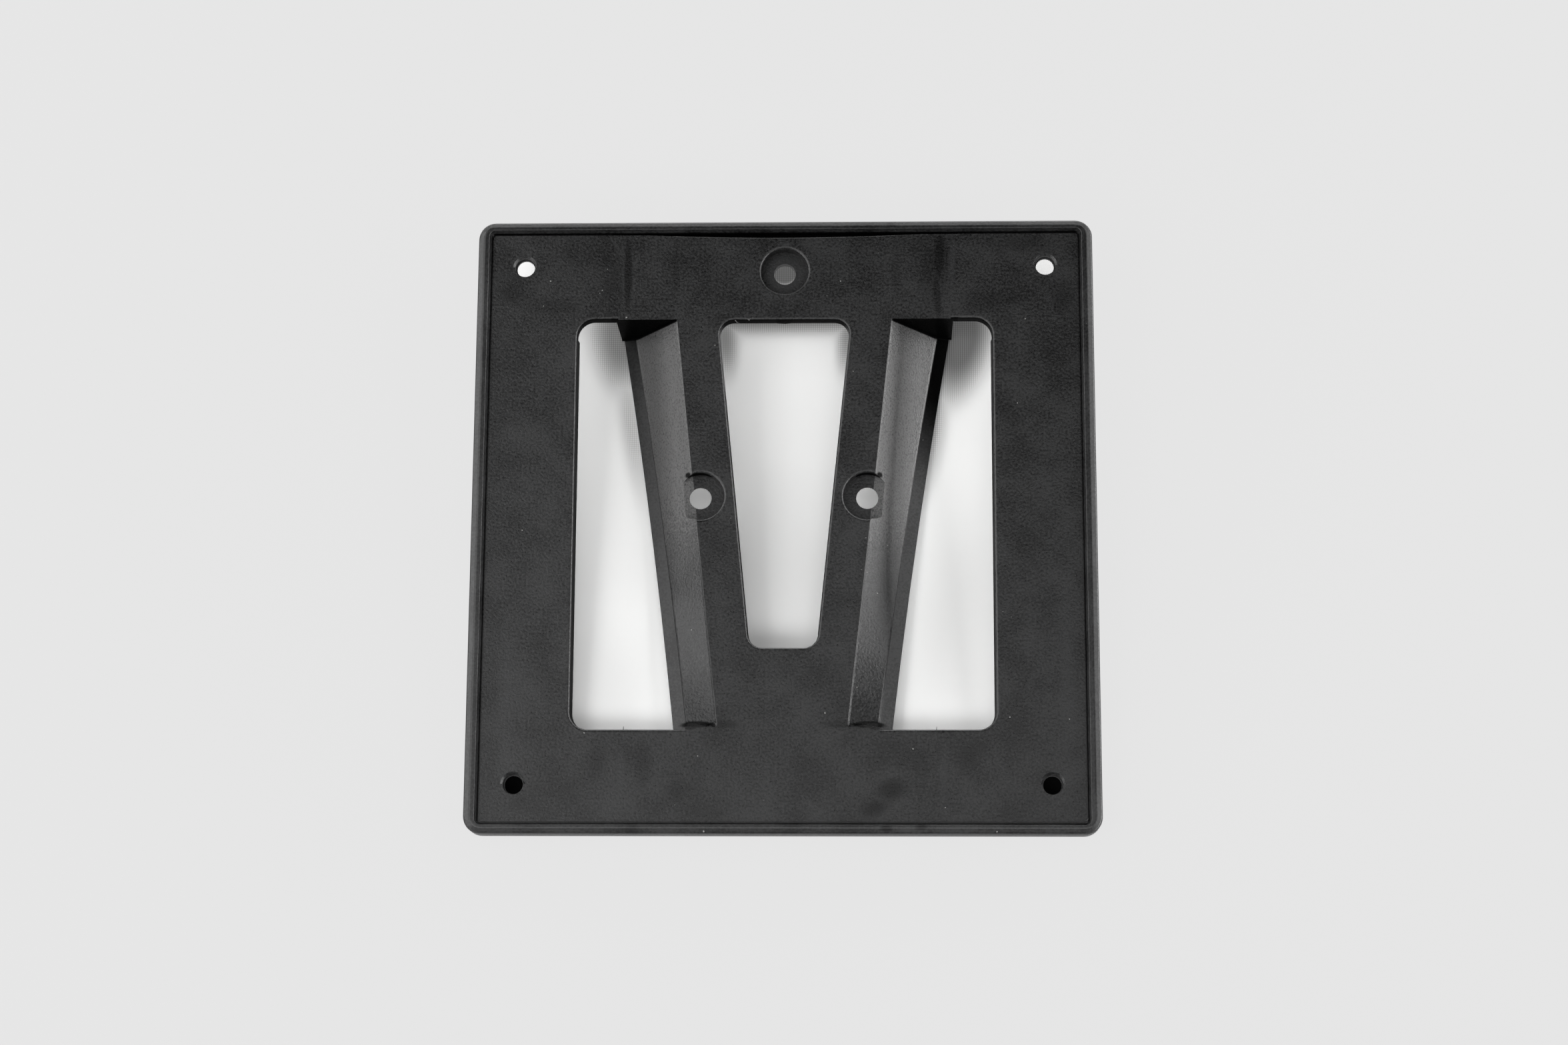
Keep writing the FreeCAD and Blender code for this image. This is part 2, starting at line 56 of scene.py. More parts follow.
class Value:
    """A number in a material, held as a node's output socket."""

    def __init__(self, tree: "Tree", socket: bpy.types.NodeSocket) -> None:
        """Keeps the tree and the socket.

        Args:
            tree: the material's nodes.
            socket: the output that gives the number.
        """
        self.tree = tree
        self.socket = socket

    def calculate(self, operation: str, *numbers: Number) -> "Value":
        """Adds a Math node.

        Args:
            operation: the node's operation.
            *numbers: its inputs, in order.

        Returns:
            The node's result.
        """
        node = self.tree.add("ShaderNodeMath", {"operation": operation}, dict(enumerate(numbers)))
        return Value(self.tree, node.outputs[0])

    def __add__(self, other: Number) -> "Value":
        """Returns self + other."""
        return self.calculate("ADD", self, other)

    def __radd__(self, other: Number) -> "Value":
        """Returns other + self."""
        return self.calculate("ADD", other, self)

    def __sub__(self, other: Number) -> "Value":
        """Returns self - other."""
        return self.calculate("SUBTRACT", self, other)

    def __rsub__(self, other: Number) -> "Value":
        """Returns other - self."""
        return self.calculate("SUBTRACT", other, self)

    def __mul__(self, other: Number) -> "Value":
        """Returns self * other."""
        return self.calculate("MULTIPLY", self, other)

    def __rmul__(self, other: Number) -> "Value":
        """Returns other * self."""
        return self.calculate("MULTIPLY", other, self)

    def __gt__(self, other: Number) -> "Value":
        """Returns 1 where self is above other, and 0 elsewhere."""
        return self.calculate("GREATER_THAN", self, other)

    def __abs__(self) -> "Value":
        """Returns self without its sign."""
        return self.calculate("ABSOLUTE", self)

    def highest(self, other: Number) -> "Value":
        """Returns the greater of self and other."""
        return self.calculate("MAXIMUM", self, other)

    def ramp(self, start: float, end: float, most: float = 1.0) -> "Value":
        """Rises smoothly with self.

        Args:
            start: where the result is 0.
            end: where the result is at its most, above or below start.
            most: the greatest result.

        Returns:
            A number from 0 to the most.
        """
        node = self.tree.add(
            "ShaderNodeMapRange",
            {"interpolation_type": "SMOOTHSTEP"},
            {"Value": self, "From Min": start, "From Max": end, "To Max": most},
        )
        return Value(self.tree, node.outputs["Result"])

    def near(self, edge: float, span: Pair) -> "Value":
        """Rises smoothly near an edge.

        Args:
            edge: the number at the edge.
            span: where the result is 0 and where it is 1, measured from the edge.

        Returns:
            A number from 0 to 1.
        """
        return self.ramp(edge + span[0], edge + span[1])


class Tree:
    """The nodes of one material."""

    def __init__(self, name: str) -> None:
        """Makes an empty material.

        Args:
            name: the material's name.
        """
        self.material = bpy.data.materials.new(name)
        self.material.use_nodes = True
        self.nodes = self.material.node_tree.nodes
        self.links = self.material.node_tree.links
        self.nodes.clear()

    def add(self, kind: str, settings: dict, inputs: dict) -> bpy.types.Node:
        """Adds a node.

        Args:
            kind: the node's type.
            settings: its properties, set before its inputs.
            inputs: a value, or an output to link, for each input.

        Returns:
            The node.
        """
        node = self.nodes.new(kind)
        for name, setting in settings.items():
            setattr(node, name, setting)
        for name, value in inputs.items():
            if isinstance(value, Value):
                self.links.new(value.socket, node.inputs[name])
            elif isinstance(value, bpy.types.NodeSocket):
                self.links.new(value, node.inputs[name])
            else:
                node.inputs[name].default_value = value
        return node

    def blend(self, factor: Value, first: Paint, second: Paint) -> bpy.types.NodeSocket:
        """Mixes two colours.

        Args:
            factor: 0 for the first, 1 for the second.
            first: a colour or an output.
            second: a colour or an output.

        Returns:
            The mixed colour.
        """
        node = self.add("ShaderNodeMix", {"data_type": "RGBA"}, {0: factor, 6: first, 7: second})
        return node.outputs[2]

    def finish(self, factor: Value, first: bpy.types.Node, second: bpy.types.Node) -> bpy.types.Material:
        """Mixes two shaders into the material's surface.

        Args:
            factor: 0 for the first, 1 for the second.
            first: a shader.
            second: a shader.

        Returns:
            The finished material.
        """
        shaders = {0: factor, 1: first.outputs[0], 2: second.outputs[0]}
        mixed = self.add("ShaderNodeMixShader", {}, shaders)
        self.add("ShaderNodeOutputMaterial", {}, {"Surface": mixed.outputs[0]})
        return self.material


@dataclass(frozen=True)
class Place:
    """The place on the object in millimetres.

    Attributes:
        point: its coordinates.
        x: the first of them.
        y: the second of them.
        z: the third of them.
        side: the distance from the middle, left or right.
    """

    point: bpy.types.NodeSocket
    x: Value
    y: Value
    z: Value
    side: Value

    @classmethod
    def on(cls, tree: Tree) -> "Place":
        """Reads the place.

        Args:
            tree: the material's nodes.

        Returns:
            The place.
        """
        coordinates = tree.add("ShaderNodeTexCoord", {}, {})
        scale = {0: coordinates.outputs["Object"], "Scale": 1 / MM}
        point = tree.add("ShaderNodeVectorMath", {"operation": "SCALE"}, scale).outputs[0]
        split = tree.add("ShaderNodeSeparateXYZ", {}, {0: point})
        x, y, z = (Value(tree, socket) for socket in split.outputs)
        return cls(point, x, y, z, abs(x))


@dataclass(frozen=True)
class Noise:
    """A cloudy pattern.

    Attributes:
        width: the width of one of its features, in millimetres.
        detail: how many finer layers it has.
        rough: how strong the finer layers are, from 0 to 1.
    """

    width: float
    detail: float
    rough: float

    def read(self, tree: Tree, place: Place) -> Value:
        """Adds the pattern to a material.

        Args:
            tree: the material's nodes.
            place: the place on the object.

        Returns:
            A number about 0.5.
        """
        sizes = {"Scale": 1 / self.width, "Detail": self.detail, "Roughness": self.rough}
        node = tree.add("ShaderNodeTexNoise", {"noise_dimensions": "3D"}, {"Vector": place.point, **sizes})
        return Value(tree, node.outputs["Fac"])


@dataclass(frozen=True)
class Mark:
    """A soft oval mark on a surface, in millimetres.

    Attributes:
        centre: its centre.
        size: its whole length, width and depth.
        turn: how far the length is turned from +X, in degrees, as seen from the front.
        soft: the share of its radius over which it fades out.
        strength: how much it changes the surface, from 0 to 1.
    """

    centre: Triple
    size: Triple
    turn: float = 0.0
    soft: float = 0.6
    strength: float = 1.0

    def mask(self, tree: Tree, place: Place) -> Value:
        """Draws the mark.

        Args:
            tree: the material's nodes.
            place: the place on the object.

        Returns:
            Its strength inside the mark and 0 outside.
        """
        local = tree.add(
            "ShaderNodeMapping",
            {"vector_type": "TEXTURE"},
            {
                "Vector": place.point,
                "Location": self.centre,
                "Rotation": (0.0, 0.0, math.radians(self.turn)),
                "Scale": tuple(side / 2 for side in self.size),
            },
        )
        reach = tree.add("ShaderNodeVectorMath", {"operation": "LENGTH"}, {0: local.outputs[0]})
        return Value(tree, reach.outputs["Value"]).ramp(1.0, 1.0 - self.soft, self.strength)


def strongest(tree: Tree, place: Place, marks: tuple[Mark, ...]) -> Value:
    """Joins marks.

    Args:
        tree: the material's nodes.
        place: the place on the object.
        marks: the marks.

    Returns:
        The strongest mark's strength at the place.
    """
    first, *others = (mark.mask(tree, place) for mark in marks)
    for other in others:
        first = first.highest(other)
    return first


STREAK_AND_SHADE_MARKS = (
    # Glossy streaks from the upper rim down to the legs
    Mark((-47.6, 76.5, 0.0), (3.6, 29.0, 9.0), strength=0.85),
    Mark((-52.0, 75.0, 0.0), (13.0, 32.0, 9.0), strength=0.45, soft=0.9),
    Mark((-33.0, 77.0, 0.0), (3.0, 27.0, 9.0), strength=0.35, soft=0.9),
    Mark((47.0, 82.0, 0.0), (4.2, 20.0, 9.0), turn=-3.0, strength=0.9),
    Mark((46.2, 70.0, 0.0), (3.2, 20.0, 9.0), turn=3.0, strength=0.7),
    Mark((45.5, 76.0, 0.0), (15.0, 32.0, 9.0), strength=0.35, soft=0.9),
    Mark((34.0, 77.0, 0.0), (4.6, 24.0, 9.0), strength=0.3, soft=0.9),
    # Dark patches along the upper band, painted shade where the panel reflects less light
    Mark((-83.5, 71.0, 0.0), (11.0, 12.0, 9.0), strength=0.5, soft=0.9),
    Mark((-70.0, 66.5, 0.0), (26.0, 8.0, 9.0), strength=0.4, soft=0.9),
    Mark((84.0, 69.0, 0.0), (10.0, 16.0, 9.0), strength=0.5, soft=0.9),
    Mark((62.0, 68.0, 0.0), (24.0, 10.0, 9.0), strength=0.4, soft=0.9),
    Mark((71.0, 86.0, 0.0), (32.0, 8.0, 9.0), strength=0.35, soft=0.9),
    # Smudge near the lower edge, and dark spots on the rim
    Mark((32.0, -80.5, 0.0), (13.0, 9.5, 9.0), turn=15.0, strength=0.85, soft=0.8),
    Mark((27.0, -86.0, 0.0), (11.0, 7.0, 9.0), turn=20.0, strength=0.75, soft=0.8),
    Mark((30.4, -92.0, 1.5), (5.0, 2.6, 4.0), strength=0.95),
    Mark((40.6, -91.7, 1.5), (5.4, 2.4, 4.0), strength=0.95),
    Mark((35.6, -90.6, 2.0), (13.0, 1.3, 4.0), strength=0.7),
    Mark((-43.6, -92.2, 1.5), (6.5, 4.0, 4.0), strength=0.6, soft=0.8),
    Mark((32.0, 91.5, 1.9), (3.6, 2.2, 4.0), strength=0.6),
    # Soft patches under the side openings
    Mark((-54.5, -72.0, 0.0), (10.0, 15.0, 9.0), strength=0.4, soft=0.9),
    Mark((-40.8, -73.5, 0.0), (8.0, 19.0, 9.0), strength=0.4, soft=0.9),
    Mark((-31.0, -81.0, 0.0), (12.0, 9.0, 9.0), turn=30.0, strength=0.4, soft=0.9),
    Mark((41.0, -73.0, 0.0), (8.0, 17.0, 9.0), strength=0.3, soft=0.9),
    Mark((54.0, -72.0, 0.0), (9.0, 15.0, 9.0), strength=0.3, soft=0.9),
    # Painted shade on the panel round the lower ends of the legs
    Mark((-18.5, -61.4, 0.0), (17.0, 3.4, 9.0), strength=0.65, soft=0.7),
    Mark((17.5, -61.4, 0.0), (15.0, 3.4, 9.0), strength=0.6, soft=0.7),
    Mark((-27.2, -62.3, 0.0), (5.5, 1.8, 9.0), strength=0.9),
    Mark((27.2, -62.3, 0.0), (5.5, 1.8, 9.0), strength=0.9),
)
PAINTED_SHADE_MARKS = (
    # Painted shade in the crescents at the top of the two lower pads
    Mark((25.5, 14.2, -1.9), (11.0, 2.8, 3.6), strength=0.9, soft=0.3),
    Mark((-25.5, 14.2, -1.9), (11.0, 2.8, 3.6), strength=0.9, soft=0.3),
    # Painted shade at the lower ends of the legs
    Mark((-25.6, -61.3, -1.0), (13.0, 2.6, 9.0), strength=0.85, soft=0.4),
    Mark((25.6, -61.3, -1.0), (13.0, 2.6, 9.0), strength=0.85, soft=0.4),
)
HAZE_AND_LIGHT_MARKS = (
    # Painted light on the pad round the upper mounting hole, which lies in shade
    Mark((0.0, 77.5, -4.8), (17.0, 17.0, 5.0), strength=0.7, soft=0.3),
    # Scratches and rubbed spots
    Mark((-51.2, 85.6, 0.0), (8.4, 1.3, 9.0), turn=-54.0, strength=0.5),
    Mark((0.2, 86.1, 0.0), (6.4, 1.8, 9.0), strength=0.5),
    Mark((54.5, -85.5, 0.0), (8.0, 1.4, 9.0), turn=48.0, strength=0.35, soft=0.8),
    Mark((59.5, -84.5, 0.0), (7.0, 1.2, 9.0), turn=48.0, strength=0.3, soft=0.8),
    Mark((35.4, -92.6, 1.0), (6.0, 1.8, 4.0), strength=0.6),
    Mark((-31.5, -16.9, -8.0), (3.9, 0.45, 6.0), turn=-31.0, strength=1.0, soft=0.5),
    Mark((8.0, -85.1, 0.0), (0.6, 3.2, 6.0), turn=-14.0, strength=0.8, soft=0.5),
    # Hazy bands beside the streaks, under the side openings and low on the right leg; painted sheen along
    # the sides
    Mark((-49.0, 74.5, 0.0), (1.6, 17.0, 9.0), strength=0.45, soft=0.8),
    Mark((50.7, 79.5, 0.0), (3.6, 19.0, 9.0), turn=-3.0, strength=0.5, soft=0.8),
    Mark((-47.3, -75.0, 0.0), (3.6, 24.0, 9.0), strength=0.4, soft=0.9),
    Mark((47.2, -76.0, 0.0), (3.8, 23.0, 9.0), strength=0.4, soft=0.9),
    Mark((25.1, -49.9, -4.0), (5.0, 8.0, 9.0), strength=0.35, soft=0.9),
    Mark((83.5, -44.0, 0.0), (6.0, 66.0, 9.0), strength=0.35, soft=0.9),
    Mark((-82.0, -52.0, 0.0), (7.0, 74.0, 9.0), strength=0.3, soft=0.9),
    Mark((72.7, -49.0, 0.0), (15.0, 2.6, 9.0), turn=58.0, strength=0.3, soft=0.9),
)


@dataclass(frozen=True)
class LegParts:
    """The parts of the two legs, each as 1 on it and 0 elsewhere.

    Attributes:
        wall: the slanted walls.
        lip: the lips along the walls' lower edges.
        end: the end walls above both.
    """

    wall: Value
    lip: Value
    end: Value


@dataclass(frozen=True)
class LegShape:
    """Where the slanted walls and the lips of the two legs lie, in millimetres.

    Attributes:
        top: y of the legs' upper end.
        bottom: y of the legs' lower end.
        fold: distance of the fold above a wall from the middle, at the top and at the bottom.
        lip: distance of the line between wall and lip from the middle: at the top, half way, at the bottom.
        reach: distance of the outer edge of the lips from the middle, more than anywhere on them.
        blur: how far a wall and its lip run into one another, to either side of the line between them.
        sunk_span: z over which walls, lips and end walls begin.
        top_span: where walls and lips begin at the top.
        bottom_span: where they begin at the bottom.
        reach_span: where they begin at the outer edge.
        fold_span: where a wall begins at its fold.
        end_span: where an end wall begins at the top.
        end_fold_span: where an end wall begins at the fold.
    """

    top: float = 62.0
    bottom: float = -61.0
    fold: Pair = (32.4, 19.2)
    lip: Triple = (46.6, 36.7, 28.6)
    reach: float = 52.5
    blur: float = 0.15
    sunk_span: Pair = (-0.05, -0.25)
    top_span: Pair = (-0.1, -0.3)
    bottom_span: Pair = (-0.6, 0.2)
    reach_span: Pair = (0.2, 0.0)
    fold_span: Pair = (-0.1, 0.25)
    end_span: Pair = (-0.6, -0.1)
    end_fold_span: Pair = (-0.5, 0.5)

    def parts(self, place: Place) -> LegParts:
        """Finds the parts of the legs.

        Args:
            place: the place on the object.

        Returns:
            The parts.
        """
        length = self.top - self.bottom
        # From -1 at the lower end to 1 at the upper end
        part = place.y * (2 / length) - (self.top + self.bottom) / length
        high, middle, low = self.lip
        lip_line = part * ((high - low) / 2) + part * part * ((high + low) / 2 - middle) + middle
        fold_line = part * ((self.fold[0] - self.fold[1]) / 2) + sum(self.fold) / 2
        past_lip = place.side - lip_line
        past_fold = place.side - fold_line
        inside = place.y.near(self.top, self.top_span) * place.y.near(self.bottom, self.bottom_span)
        sunk = place.z.ramp(*self.sunk_span) * place.side.near(self.reach, self.reach_span)
        lip = past_lip.ramp(-self.blur, self.blur) * inside * sunk
        wall = past_fold.ramp(*self.fold_span) * past_lip.ramp(self.blur, -self.blur) * inside * sunk
        end = place.y.near(self.top, self.end_span) * past_fold.ramp(*self.end_fold_span) * sunk
        return LegParts(wall, lip, end)


@dataclass(frozen=True)
class OpeningShape:
    """Where the walls of the three openings lie, in millimetres, and how little light they catch.

    Attributes:
        top: y of the highest upper edge.
        bottom: y of the lowest lower edge.
        outer: distance of the side openings' outer edges from the middle.
        centre: half the greatest width of the centre opening.
        upper_span: where the dark of the upper walls begins, from the top.
        upper_depth: z over which it begins.
        upper_dark: how dark the upper walls are, from 0 to 1.
        outer_span: where the dark of the outer walls begins, from the outer edges.
        centre_span: where the dark of the centre opening's walls begins, from its half width.
        side_depth: z over which the dark of the outer walls and of the centre opening's walls begins.
        side_dark: how dark these walls are, from 0 to 1.
        past_top: where all the dark ends above the top.
        past_outer: where it ends beyond the outer edges.
        past_bottom: where it ends below the bottom.
    """

    top: float = 63.8
    bottom: float = -63.0
    outer: float = 61.5
    centre: float = 17.5
    upper_span: Pair = (-6.5, -2.5)
    upper_depth: Pair = (-0.1, -0.4)
    upper_dark: float = 0.9
    outer_span: Pair = (-1.0, 0.0)
    centre_span: Pair = (0.6, 0.0)
    side_depth: Pair = (-0.4, -0.9)
    side_dark: float = 0.8
    past_top: Pair = (0.6, 0.2)
    past_outer: Pair = (3.0, 2.5)
    past_bottom: Pair = (-1.0, 0.0)

    def walls(self, place: Place) -> Value:
        """Finds the painted shade on the openings' walls.

        Args:
            place: the place on the object.

        Returns:
            How dark they are, from 0 to 1.
        """
        upper = place.y.near(self.top, self.upper_span) * place.z.ramp(*self.upper_depth, self.upper_dark)
        sides = place.side.near(self.outer, self.outer_span)
        sides = sides.highest(place.side.near(self.centre, self.centre_span))
        sides = sides * place.z.ramp(*self.side_depth, self.side_dark)
        inside = place.y.near(self.top, self.past_top) * place.side.near(self.outer, self.past_outer)
        return upper.highest(sides) * inside * place.y.near(self.bottom, self.past_bottom)


@dataclass(frozen=True)
class RimShape:
    """Where the seat ends at the foot of the rim, in millimetres, and the painted shade that runs there as
    a dark line.

    Attributes:
        side: distance of the rim's foot from the middle, left and right.
        top: y of the foot at the upper end.
        bottom: y of the foot at the lower end.
        soft: the width over which the dark begins, before the foot and before the slot's edge.
        height: how far up the inner wall the dark line reaches.
        side_dark: how dark the line is left and right, from 0 to 1.
        top_dark: how dark it is at the upper end, and in the slot.
        bottom_dark: how dark it is at the lower end.
        wall_span: how far outside the foot the dark has ended, and how far outside it is still full.
        slot_bow: how far the edge of the upper slot bows down in its middle.
        slot_half: half the slot's width.
        slot_depth: z over which the dark of the slot begins.
        slot_floor: z of the slot's floor.
        floor_span: where the dark ends below the slot's floor.
    """

    side: float = 89.25
    top: float = 89.45
    bottom: float = -90.45
    soft: float = 0.3
    height: float = 0.7
    side_dark: float = 0.8
    top_dark: float = 0.95
    bottom_dark: float = 0.75
    wall_span: Pair = (1.3, 0.9)
    slot_bow: float = 1.45
    slot_half: float = 50.0
    slot_depth: Pair = (-0.2, -0.5)
    slot_floor: float = -2.0
    floor_span: Pair = (-0.2, -0.1)

    def slot_edge(self, x: float) -> float:
        """Returns y of the upper slot's edge at x."""
        return self.top - self.slot_bow * (1 - (x / self.slot_half) ** 2)

    def slot_line(self, half: int, step: int, inset: float, height: float) -> tuple[Triple, ...]:
        """Follows the middle part of the upper slot's edge.

        Args:
            half: how far the line runs to either side.
            step: the distance between two of its points along x.
            inset: how far below the edge it lies.
            height: its z.

        Returns:
            Its points.
        """
        return tuple((x, self.slot_edge(x) - inset, height) for x in range(-half, half + 1, step))

    def foot(self, place: Place) -> Value:
        """Paints shade as a dark line at the foot of the rim and in the upper slot.

        Args:
            place: the place on the object.

        Returns:
            How dark it is, from 0 to 1.
        """
        lowest = self.slot_edge(0.0)
        out, full = self.wall_span
        line = place.side.ramp(self.side - self.soft, self.side, self.side_dark)
        line = line.highest(place.y.ramp(self.top - self.soft, self.top, self.top_dark))
        line = line.highest(place.y.ramp(self.bottom + self.soft, self.bottom, self.bottom_dark))
        line = line * place.z.ramp(self.height, self.height / 3)
        slot = place.y.ramp(lowest - self.soft, lowest) * place.z.ramp(*self.slot_depth, self.top_dark)
        inner = place.side.ramp(self.side + out, self.side + full)
        inner = inner * place.y.ramp(self.top + out, self.top + full)
        inner = inner * place.y.ramp(self.bottom - out, self.bottom - full)
        return line.highest(slot) * inner * place.z.near(self.slot_floor, self.floor_span)


@dataclass(frozen=True)
class CornerShade:
    """The deep corners of the legs, which stay dark: painted shade on the end walls and the upper parts of
    the lips.

    Attributes:
        right_side: x over which the right lip's dark begins, in millimetres.
        right_span: y over which the right lip gets dark, in millimetres.
        right_dark: how dark its upper part is, from 0 to 1.
        lip_span: y over which both lips get dark, in millimetres.
        lip_dark: how dark their upper ends are, from 0 to 1.
        end_dark: how dark the end walls are, from 0 to 1.
        marks: more places of painted shade.
    """

    right_side: Pair = (-1.0, 1.0)
    right_span: Pair = (8.0, 44.0)
    right_dark: float = 0.95
    lip_span: Pair = (50.0, 61.0)
    lip_dark: float = 0.25
    end_dark: float = 0.93
    marks: tuple[Mark, ...] = PAINTED_SHADE_MARKS

    def mask(self, tree: Tree, place: Place, legs: LegParts) -> Value:
        """Finds the painted shade in the corners.

        Args:
            tree: the material's nodes.
            place: the place on the object.
            legs: the parts of the legs.

        Returns:
            How dark the plastic is there, from 0 to 1.
        """
        right = place.y.ramp(*self.right_span) * place.x.ramp(*self.right_side) * self.right_dark
        upper = right.highest(place.y.ramp(*self.lip_span) * self.lip_dark)
        deep = (legs.end * self.end_dark).highest(legs.lip * upper)
        return deep.highest(strongest(tree, place, self.marks))


@dataclass(frozen=True)
class Dust:
    """Scattered dust specks, with some larger ones where the photograph has them.

    Attributes:
        gap: the mean distance between two places for a speck, in millimetres.
        share: the share of these places that hold a speck.
        radius: the radius of the smallest and of the largest speck, as a share of the gap.
        faintest: how strong the faintest speck is, from 0 to 1.
        spots: x, y, z and the length of each larger speck, in millimetres.
        spot_width: the width of a larger speck, as a share of its length.
        spot_depth: its depth, in millimetres.
        spot_turn: how much further each one is turned than the one before, in degrees.
        spot_soft: the share of its radius over which it fades out.
    """

    gap: float = 2.6
    share: float = 0.07
    radius: Pair = (0.02, 0.075)
    faintest: float = 0.2
    spots: tuple[tuple[float, float, float, float], ...] = (
        (-71.2, 74.6, 0.0, 0.55), (-55.4, 71.6, 0.0, 0.45), (-56.1, 70.7, 0.0, 0.35),
        (-73.2, 66.7, 0.0, 0.40), (-53.9, 78.3, 0.0, 0.35), (-47.9, 63.0, 0.0, 0.60),
        (17.0, 74.2, 0.0, 0.45), (0.8, 81.1, 0.0, 0.50), (24.9, -15.7, -3.0, 0.50),
        (28.0, -21.5, -5.0, 0.50), (24.6, -5.4, -2.0, 0.40), (31.1, -6.5, -7.0, 0.40),
        (12.5, -58.0, 0.0, 0.55), (21.9, -50.2, -2.0, 0.40), (42.0, 28.5, -14.0, 0.50),
        (-27.3, -32.6, -5.0, 0.50), (-22.7, -93.0, 1.2, 0.65), (-58.3, -63.9, 0.0, 0.50),
        (-24.8, -70.7, 0.0, 0.40), (62.5, -93.0, 1.2, 0.50), (66.7, -59.2, 0.0, 0.50),
        (84.1, -59.8, 0.0, 0.45), (38.3, -68.6, 0.0, 0.50), (47.6, -85.8, 0.0, 0.40),
    )
    spot_width: float = 0.8
    spot_depth: float = 8.0
    spot_turn: float = 40.0
    spot_soft: float = 0.4

    def mask(self, tree: Tree, place: Place) -> Value:
        """Draws the specks.

        Args:
            tree: the material's nodes.
            place: the place on the object.

        Returns:
            How strongly the dust shows, from 0 to 1.
        """
        cells = tree.add(
            "ShaderNodeTexVoronoi",
            {"feature": "F1"},
            {"Vector": place.point, "Scale": 1 / self.gap, "Randomness": 1.0},
        )
        draws = tree.add("ShaderNodeSeparateColor", {}, {0: cells.outputs["Color"]})
        choice, size, strength = (Value(tree, socket) for socket in draws.outputs)
        smallest, largest = self.radius
        inside = size * (largest - smallest) + smallest > Value(tree, cells.outputs["Distance"])
        chosen = (choice > 1.0 - self.share) * inside
        scattered = chosen * (strength * (1.0 - self.faintest) + self.faintest)
        return scattered.highest(strongest(tree, place, self.larger()))

    def larger(self) -> tuple[Mark, ...]:
        """Turns the larger specks into marks.

        Returns:
            A mark for each of them.
        """
        return tuple(
            Mark(
                (x, y, z),
                (length, length * self.spot_width, self.spot_depth),
                turn=self.spot_turn * index,
                soft=self.spot_soft,
            )
            for index, (x, y, z, length) in enumerate(self.spots)
        )


